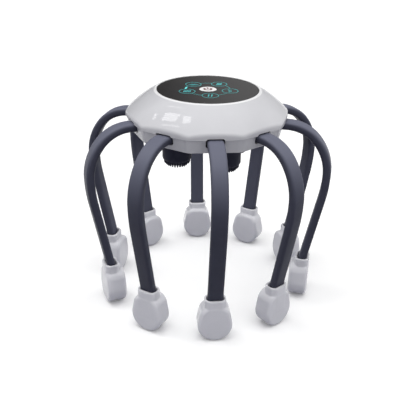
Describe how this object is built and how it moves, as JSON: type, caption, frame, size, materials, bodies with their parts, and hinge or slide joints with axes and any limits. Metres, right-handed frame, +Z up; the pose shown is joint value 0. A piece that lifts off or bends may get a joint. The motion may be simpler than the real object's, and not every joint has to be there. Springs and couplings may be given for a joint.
{
  "type": "electric scalp massager",
  "caption": "Domed hub with a touch panel, bristle heads below and a ring of sprung arms that end in soft vibrating pods round the head.",
  "frame": {"origin": "centre of the standing area, on the surface that the pods stand on, below the hub's axis", "axes": "+Z up along the hub's axis; arm 01 points along -Y and arm 06 along +Y; X completes the frame"},
  "size_m": [0.1734, 0.18, 0.1546],
  "materials": {
    "shell_white": "glossy moulded ABS, near white",
    "panel_black": "smooth dark touch panel with printed symbols",
    "button_white": "glossy white cap",
    "arm_silicone": "matt slate silicone",
    "spring_steel": "blued spring strip",
    "pod_white": "soft satin white silicone",
    "bristle_black": "matt black silicone bristles",
    "motor_metal": "plated can",
    "gear_plastic": "natural acetal",
    "frame_grey": "glass-filled nylon",
    "anchor_dark": "dark nylon",
    "circuit_green": "circuit board with solder mask",
    "socket_steel": "stainless shell",
    "battery_foil": "aluminium laminate pouch",
    "screw_steel": "zinc-plated"
  },
  "bodies": {
    "root": {"top_shell": "shell_white", "base_shell": "shell_white", "control_panel": "panel_black", "main_board": "circuit_green", "usb_c_socket": "socket_steel", "battery_cell": "battery_foil", "gear_motor": "motor_metal", "gear_frame": "frame_grey", "arm_anchors": "anchor_dark", "case_screws": "screw_steel"},
    "power_button": {"power_button": "button_white"},
    "drive_pinion": {"drive_pinion": "gear_plastic"},
    "head_1": {"head_drive_1": "gear_plastic", "massage_head_1": "bristle_black"},
    "head_2": {"head_drive_2": "gear_plastic", "massage_head_2": "bristle_black"},
    "head_3": {"head_drive_3": "gear_plastic", "massage_head_3": "bristle_black"},
    "head_4": {"head_drive_4": "gear_plastic", "massage_head_4": "bristle_black"},
    "arm_01": {"arm_sleeve_01": "arm_silicone", "arm_core_01": "spring_steel", "pod_boot_01": "pod_white", "pod_motor_01": "motor_metal"},
    "arm_02": {"arm_sleeve_02": "arm_silicone", "arm_core_02": "spring_steel", "pod_boot_02": "pod_white", "pod_motor_02": "motor_metal"},
    "arm_03": {"arm_sleeve_03": "arm_silicone", "arm_core_03": "spring_steel", "pod_boot_03": "pod_white", "pod_motor_03": "motor_metal"},
    "arm_04": {"arm_sleeve_04": "arm_silicone", "arm_core_04": "spring_steel", "pod_boot_04": "pod_white", "pod_motor_04": "motor_metal"},
    "arm_05": {"arm_sleeve_05": "arm_silicone", "arm_core_05": "spring_steel", "pod_boot_05": "pod_white", "pod_motor_05": "motor_metal"},
    "arm_06": {"arm_sleeve_06": "arm_silicone", "arm_core_06": "spring_steel", "pod_boot_06": "pod_white", "pod_motor_06": "motor_metal"},
    "arm_07": {"arm_sleeve_07": "arm_silicone", "arm_core_07": "spring_steel", "pod_boot_07": "pod_white", "pod_motor_07": "motor_metal"},
    "arm_08": {"arm_sleeve_08": "arm_silicone", "arm_core_08": "spring_steel", "pod_boot_08": "pod_white", "pod_motor_08": "motor_metal"},
    "arm_09": {"arm_sleeve_09": "arm_silicone", "arm_core_09": "spring_steel", "pod_boot_09": "pod_white", "pod_motor_09": "motor_metal"},
    "arm_10": {"arm_sleeve_10": "arm_silicone", "arm_core_10": "spring_steel", "pod_boot_10": "pod_white", "pod_motor_10": "motor_metal"}
  },
  "joints": [
    {"name": "power_button_press", "type": "slide", "parent": "root", "child": "power_button", "axis": [0, 0, -1], "range_m": [0, 0.0006], "stiffness_N_per_m": 2500, "springref_m": -0.0002},
    {"name": "pinion_spin", "type": "hinge", "parent": "root", "child": "drive_pinion", "pos_m": [0, 0, 0.135], "axis": [0, 0, 1], "continuous": true},
    {"name": "head_spin_1", "type": "hinge", "parent": "root", "child": "head_1", "pos_m": [0.01126, -0.0221, 0.12], "axis": [0, 0, 1], "continuous": true},
    {"name": "head_spin_2", "type": "hinge", "parent": "root", "child": "head_2", "pos_m": [0.0221, 0.01126, 0.12], "axis": [0, 0, 1], "continuous": true},
    {"name": "head_spin_3", "type": "hinge", "parent": "root", "child": "head_3", "pos_m": [-0.01126, 0.0221, 0.12], "axis": [0, 0, 1], "continuous": true},
    {"name": "head_spin_4", "type": "hinge", "parent": "root", "child": "head_4", "pos_m": [-0.0221, -0.01126, 0.12], "axis": [0, 0, 1], "continuous": true},
    {"name": "arm_flex_01", "type": "hinge", "parent": "root", "child": "arm_01", "pos_m": [0, -0.0528, 0.1339], "axis": [-1, 0, 0], "range_deg": [-6, 12], "stiffness_Nm_per_rad": 0.96},
    {"name": "arm_flex_02", "type": "hinge", "parent": "root", "child": "arm_02", "pos_m": [0.03104, -0.04272, 0.1339], "axis": [-0.809, -0.5878, 0], "range_deg": [-6, 12], "stiffness_Nm_per_rad": 0.96},
    {"name": "arm_flex_03", "type": "hinge", "parent": "root", "child": "arm_03", "pos_m": [0.05022, -0.01632, 0.1339], "axis": [-0.309, -0.9511, 0], "range_deg": [-6, 12], "stiffness_Nm_per_rad": 0.96},
    {"name": "arm_flex_04", "type": "hinge", "parent": "root", "child": "arm_04", "pos_m": [0.05022, 0.01632, 0.1339], "axis": [0.309, -0.9511, 0], "range_deg": [-6, 12], "stiffness_Nm_per_rad": 0.96},
    {"name": "arm_flex_05", "type": "hinge", "parent": "root", "child": "arm_05", "pos_m": [0.03104, 0.04272, 0.1339], "axis": [0.809, -0.5878, 0], "range_deg": [-6, 12], "stiffness_Nm_per_rad": 0.96},
    {"name": "arm_flex_06", "type": "hinge", "parent": "root", "child": "arm_06", "pos_m": [0, 0.0528, 0.1339], "axis": [1, 0, 0], "range_deg": [-6, 12], "stiffness_Nm_per_rad": 0.96},
    {"name": "arm_flex_07", "type": "hinge", "parent": "root", "child": "arm_07", "pos_m": [-0.03104, 0.04272, 0.1339], "axis": [0.809, 0.5878, 0], "range_deg": [-6, 12], "stiffness_Nm_per_rad": 0.96},
    {"name": "arm_flex_08", "type": "hinge", "parent": "root", "child": "arm_08", "pos_m": [-0.05022, 0.01632, 0.1339], "axis": [0.309, 0.9511, 0], "range_deg": [-6, 12], "stiffness_Nm_per_rad": 0.96},
    {"name": "arm_flex_09", "type": "hinge", "parent": "root", "child": "arm_09", "pos_m": [-0.05022, -0.01632, 0.1339], "axis": [-0.309, 0.9511, 0], "range_deg": [-6, 12], "stiffness_Nm_per_rad": 0.96},
    {"name": "arm_flex_10", "type": "hinge", "parent": "root", "child": "arm_10", "pos_m": [-0.03104, -0.04272, 0.1339], "axis": [-0.809, 0.5878, 0], "range_deg": [-6, 12], "stiffness_Nm_per_rad": 0.96}
  ],
  "couplings": [
    {"joint": "pinion_spin", "follows": "head_spin_1", "ratio": -1.3846},
    {"joint": "head_spin_2", "follows": "head_spin_1", "ratio": 1},
    {"joint": "head_spin_3", "follows": "head_spin_1", "ratio": 1},
    {"joint": "head_spin_4", "follows": "head_spin_1", "ratio": 1}
  ]
}
